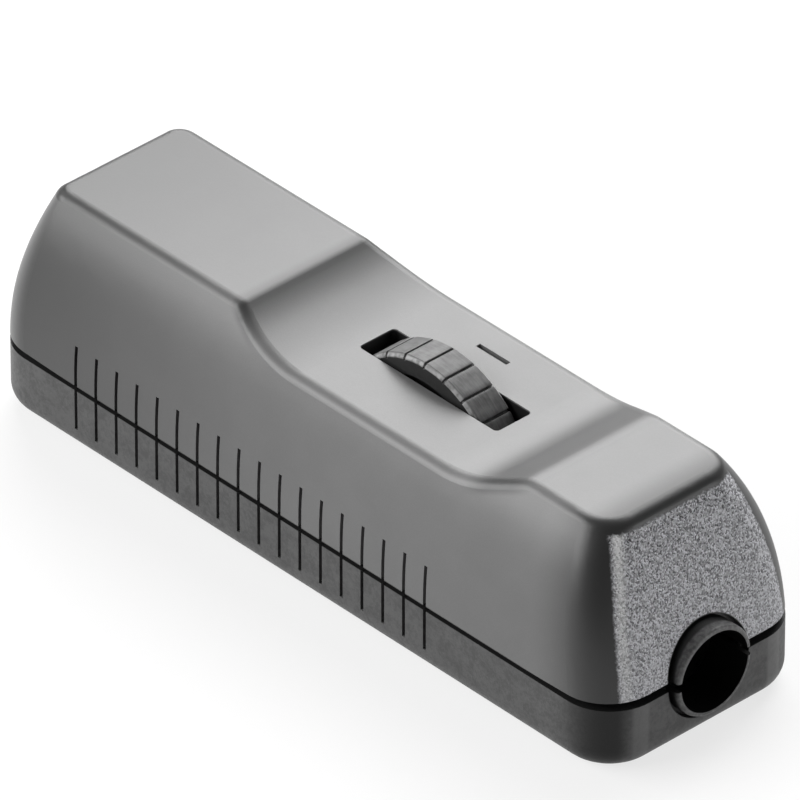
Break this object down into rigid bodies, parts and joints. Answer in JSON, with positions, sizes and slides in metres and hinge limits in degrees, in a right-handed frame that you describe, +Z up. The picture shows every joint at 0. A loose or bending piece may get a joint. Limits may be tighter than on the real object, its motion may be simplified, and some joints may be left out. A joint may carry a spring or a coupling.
{
  "type": "inline cord dimmer",
  "caption": "Long inline cord dimmer: a split moulded housing with a saddle on top, a faceted thumbwheel in a slot, vent slits along both sides and a round cord entry at each end.",
  "frame": {"origin": "centre of the base, on the surface that the housing rests on", "axes": "+X along the housing to the output cord entry, +Y to the side with the index mark, +Z up"},
  "size_m": [0.1072, 0.0316, 0.0295],
  "materials": {
    "housing_plastic": "satin moulded, spark-eroded grain on the upper ends",
    "wheel_plastic": "satin moulded",
    "clamp_plastic": "matt moulded",
    "screw_steel": "zinc plated",
    "board_laminate": "paper laminate",
    "device_epoxy": "matt epoxy",
    "sink_aluminium": "rolled",
    "core_paint": "painted iron powder",
    "copper_wire": "enamelled copper",
    "capacitor_case": "moulded case",
    "resistor_lacquer": "lacquered",
    "fuse_glass": "clear",
    "contact_nickel": "nickel plated",
    "terminal_plastic": "moulded",
    "control_case": "moulded",
    "shaft_nylon": "moulded"
  },
  "bodies": {
    "housing": {"upper_shell": "housing_plastic", "lower_shell": "housing_plastic", "housing_screws": "screw_steel", "potentiometer_body": "control_case", "circuit_board": "board_laminate", "triac": "device_epoxy", "heat_sink": "sink_aluminium", "heat_sink_screw": "screw_steel", "choke_core": "core_paint", "choke_winding": "copper_wire", "suppression_capacitor": "capacitor_case", "timing_capacitor": "capacitor_case", "diac": "device_epoxy", "resistors": "resistor_lacquer", "fuse_tube": "fuse_glass", "fuse_caps": "contact_nickel", "fuse_clips": "contact_nickel", "input_terminal": "terminal_plastic", "output_terminal": "terminal_plastic", "terminal_screws": "screw_steel", "input_cord_clamp": "clamp_plastic", "output_cord_clamp": "clamp_plastic", "cord_clamp_screws": "screw_steel"},
    "dial": {"thumbwheel": "wheel_plastic", "potentiometer_shaft": "shaft_nylon"}
  },
  "joints": [
    {"name": "dial_turn", "type": "hinge", "parent": "housing", "child": "dial", "pos_m": [0.0079, 0, 0.0161], "axis": [0, 1, 0], "range_deg": [-135, 135]}
  ]
}
